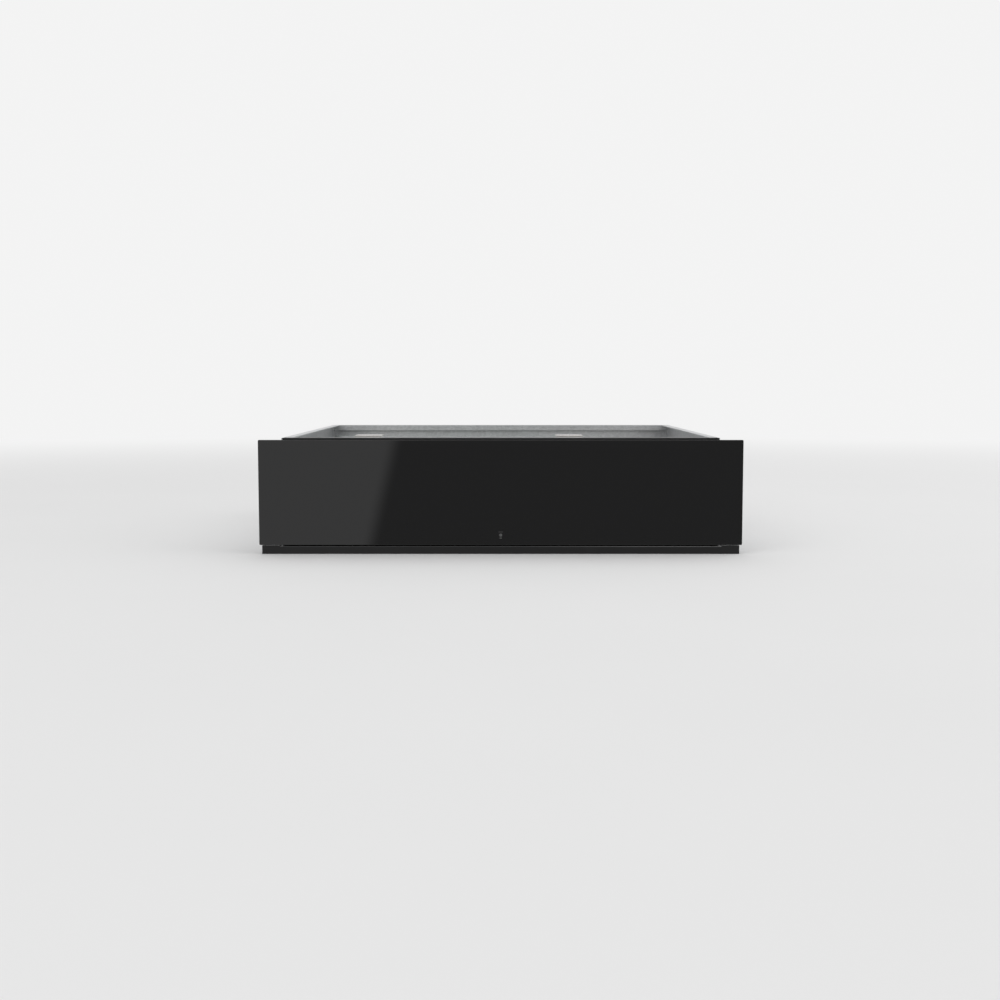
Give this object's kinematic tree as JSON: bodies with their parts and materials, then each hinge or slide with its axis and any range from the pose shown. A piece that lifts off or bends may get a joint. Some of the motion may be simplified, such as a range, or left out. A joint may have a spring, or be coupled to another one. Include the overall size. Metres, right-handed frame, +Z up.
{
  "type": "built-in vacuum sealing drawer",
  "caption": "Handleless built-in drawer with a gloss glass front, holding a lidded vacuum chamber, seal bar and pump on full extension runners.",
  "frame": {"origin": "middle of the underside, on the surface that the housing stands on", "axes": "+X to the right seen from the front, +Y to the back, +Z up; the glass front faces -Y"},
  "size_m": [0.597, 0.55, 0.1425],
  "materials": {
    "black_glass": "gloss black, polished edge",
    "clear_glass": "clear, polished edge",
    "galvanised_steel": "galvanised sheet",
    "stainless_steel": "brushed",
    "polished_stainless": "deep drawn, satin to bright",
    "black_painted_steel": "fine satin powder coat",
    "zinc_plated_steel": "bright zinc plated",
    "steel_balls": "polished",
    "black_plastic": "fine texture",
    "grey_plastic": "fine texture",
    "black_rubber": "matte",
    "grey_silicone": "matte",
    "red_silicone": "matte",
    "aluminium": "anodised satin",
    "cast_aluminium": "sand blasted casting",
    "motor_paint": "satin",
    "lamination_steel": "stacked sheet, varnished",
    "copper_winding": "enamelled wire",
    "coil_tape": "wound tape",
    "circuit_board": "solder resist",
    "brass": "turned",
    "heating_band": "coated fabric tape over a band",
    "clear_hose": "translucent tube",
    "cable_jacket": "satin jacket"
  },
  "bodies": {
    "housing": {"base_pan": "galvanised_steel", "side_wall_left": "galvanised_steel", "side_wall_right": "galvanised_steel", "rear_wall": "galvanised_steel", "top_front_rail": "black_painted_steel", "top_rear_rail": "galvanised_steel", "lower_trim": "black_painted_steel", "trim_end_caps": "black_plastic", "runner_outer_left": "zinc_plated_steel", "runner_outer_right": "zinc_plated_steel", "rear_bumpers": "black_rubber", "latch_cases": "grey_plastic", "latch_springs": "zinc_plated_steel", "housing_screws": "zinc_plated_steel"},
    "drawer": {"runner_inner_left": "zinc_plated_steel", "runner_inner_right": "zinc_plated_steel", "front_glass": "black_glass", "front_frame": "black_painted_steel", "front_brackets": "zinc_plated_steel", "drawer_tray": "galvanised_steel", "deck_plate": "stainless_steel", "vacuum_chamber": "polished_stainless", "chamber_gasket": "grey_silicone", "control_glass": "black_glass", "control_board": "circuit_board", "power_board": "circuit_board", "wiring": "cable_jacket", "power_inlet": "black_plastic", "inlet_blades": "brass", "hinge_brackets": "stainless_steel", "hinge_pins": "stainless_steel", "lift_cylinders": "aluminium", "pump_body": "cast_aluminium", "pump_covers": "cast_aluminium", "motor_shell": "motor_paint", "motor_stator": "copper_winding", "pump_mounts": "black_rubber", "exhaust_filter": "grey_plastic", "solenoid_valves": "black_plastic", "vacuum_hoses": "clear_hose", "transformer_core": "lamination_steel", "transformer_coil": "coil_tape", "fan_frame": "black_plastic", "drawer_screws": "zinc_plated_steel"},
    "latch_plungers": {"latch_plungers": "black_plastic"},
    "runner_middle_left": {"runner_middle_left": "zinc_plated_steel"},
    "runner_middle_right": {"runner_middle_right": "zinc_plated_steel"},
    "ball_cage_outer_left": {"ball_cage_outer_left": "steel_balls"},
    "ball_cage_outer_right": {"ball_cage_outer_right": "steel_balls"},
    "ball_cage_inner_left": {"ball_cage_inner_left": "steel_balls"},
    "ball_cage_inner_right": {"ball_cage_inner_right": "steel_balls"},
    "lid": {"lid_glass": "clear_glass", "lid_hinge_arms": "stainless_steel", "counter_bar": "aluminium", "counter_silicone": "red_silicone"},
    "seal_bar": {"seal_bar": "aluminium", "sealing_band": "heating_band", "lift_rods": "stainless_steel"},
    "pump_rotor": {"pump_rotor": "zinc_plated_steel"},
    "fan_impeller": {"fan_impeller": "black_plastic"}
  },
  "joints": [
    {"name": "drawer_slide", "type": "slide", "parent": "housing", "child": "drawer", "axis": [0, -1, 0], "range_m": [-0.003, 0.44]},
    {"name": "lid_hinge", "type": "hinge", "parent": "drawer", "child": "lid", "pos_m": [-0.0476, 0.116, 0.1255], "axis": [-1, 0, 0], "range_deg": [0, 80]},
    {"name": "seal_lift", "type": "slide", "parent": "drawer", "child": "seal_bar", "axis": [0, 0, 1], "range_m": [0, 0.006]},
    {"name": "pump_spin", "type": "hinge", "parent": "drawer", "child": "pump_rotor", "pos_m": [-0.078, 0.205, 0.0642], "axis": [1, 0, 0], "continuous": true},
    {"name": "fan_spin", "type": "hinge", "parent": "drawer", "child": "fan_impeller", "pos_m": [0.205, 0.2533, 0.066], "axis": [0, 1, 0], "continuous": true},
    {"name": "latch_push", "type": "slide", "parent": "housing", "child": "latch_plungers", "axis": [0, 1, 0], "range_m": [0, 0.004], "stiffness_N_per_m": 400, "springref_m": -0.005, "deforming": ["latch_springs"]},
    {"name": "middle_slide_left", "type": "slide", "parent": "housing", "child": "runner_middle_left", "axis": [0, -1, 0], "range_m": [-0.0017, 0.2202]},
    {"name": "outer_cage_slide_left", "type": "slide", "parent": "housing", "child": "ball_cage_outer_left", "axis": [0, -1, 0], "range_m": [-0.00095, 0.1102]},
    {"name": "inner_cage_slide_left", "type": "slide", "parent": "housing", "child": "ball_cage_inner_left", "axis": [0, -1, 0], "range_m": [-0.00245, 0.3302]},
    {"name": "middle_slide_right", "type": "slide", "parent": "housing", "child": "runner_middle_right", "axis": [0, -1, 0], "range_m": [-0.0017, 0.2202]},
    {"name": "outer_cage_slide_right", "type": "slide", "parent": "housing", "child": "ball_cage_outer_right", "axis": [0, -1, 0], "range_m": [-0.00095, 0.1102]},
    {"name": "inner_cage_slide_right", "type": "slide", "parent": "housing", "child": "ball_cage_inner_right", "axis": [0, -1, 0], "range_m": [-0.00245, 0.3302]}
  ],
  "couplings": [
    {"joint": "middle_slide_left", "follows": "drawer_slide", "ratio": 0.5},
    {"joint": "outer_cage_slide_left", "follows": "drawer_slide", "ratio": 0.25},
    {"joint": "inner_cage_slide_left", "follows": "drawer_slide", "ratio": 0.75},
    {"joint": "middle_slide_right", "follows": "drawer_slide", "ratio": 0.5},
    {"joint": "outer_cage_slide_right", "follows": "drawer_slide", "ratio": 0.25},
    {"joint": "inner_cage_slide_right", "follows": "drawer_slide", "ratio": 0.75}
  ]
}
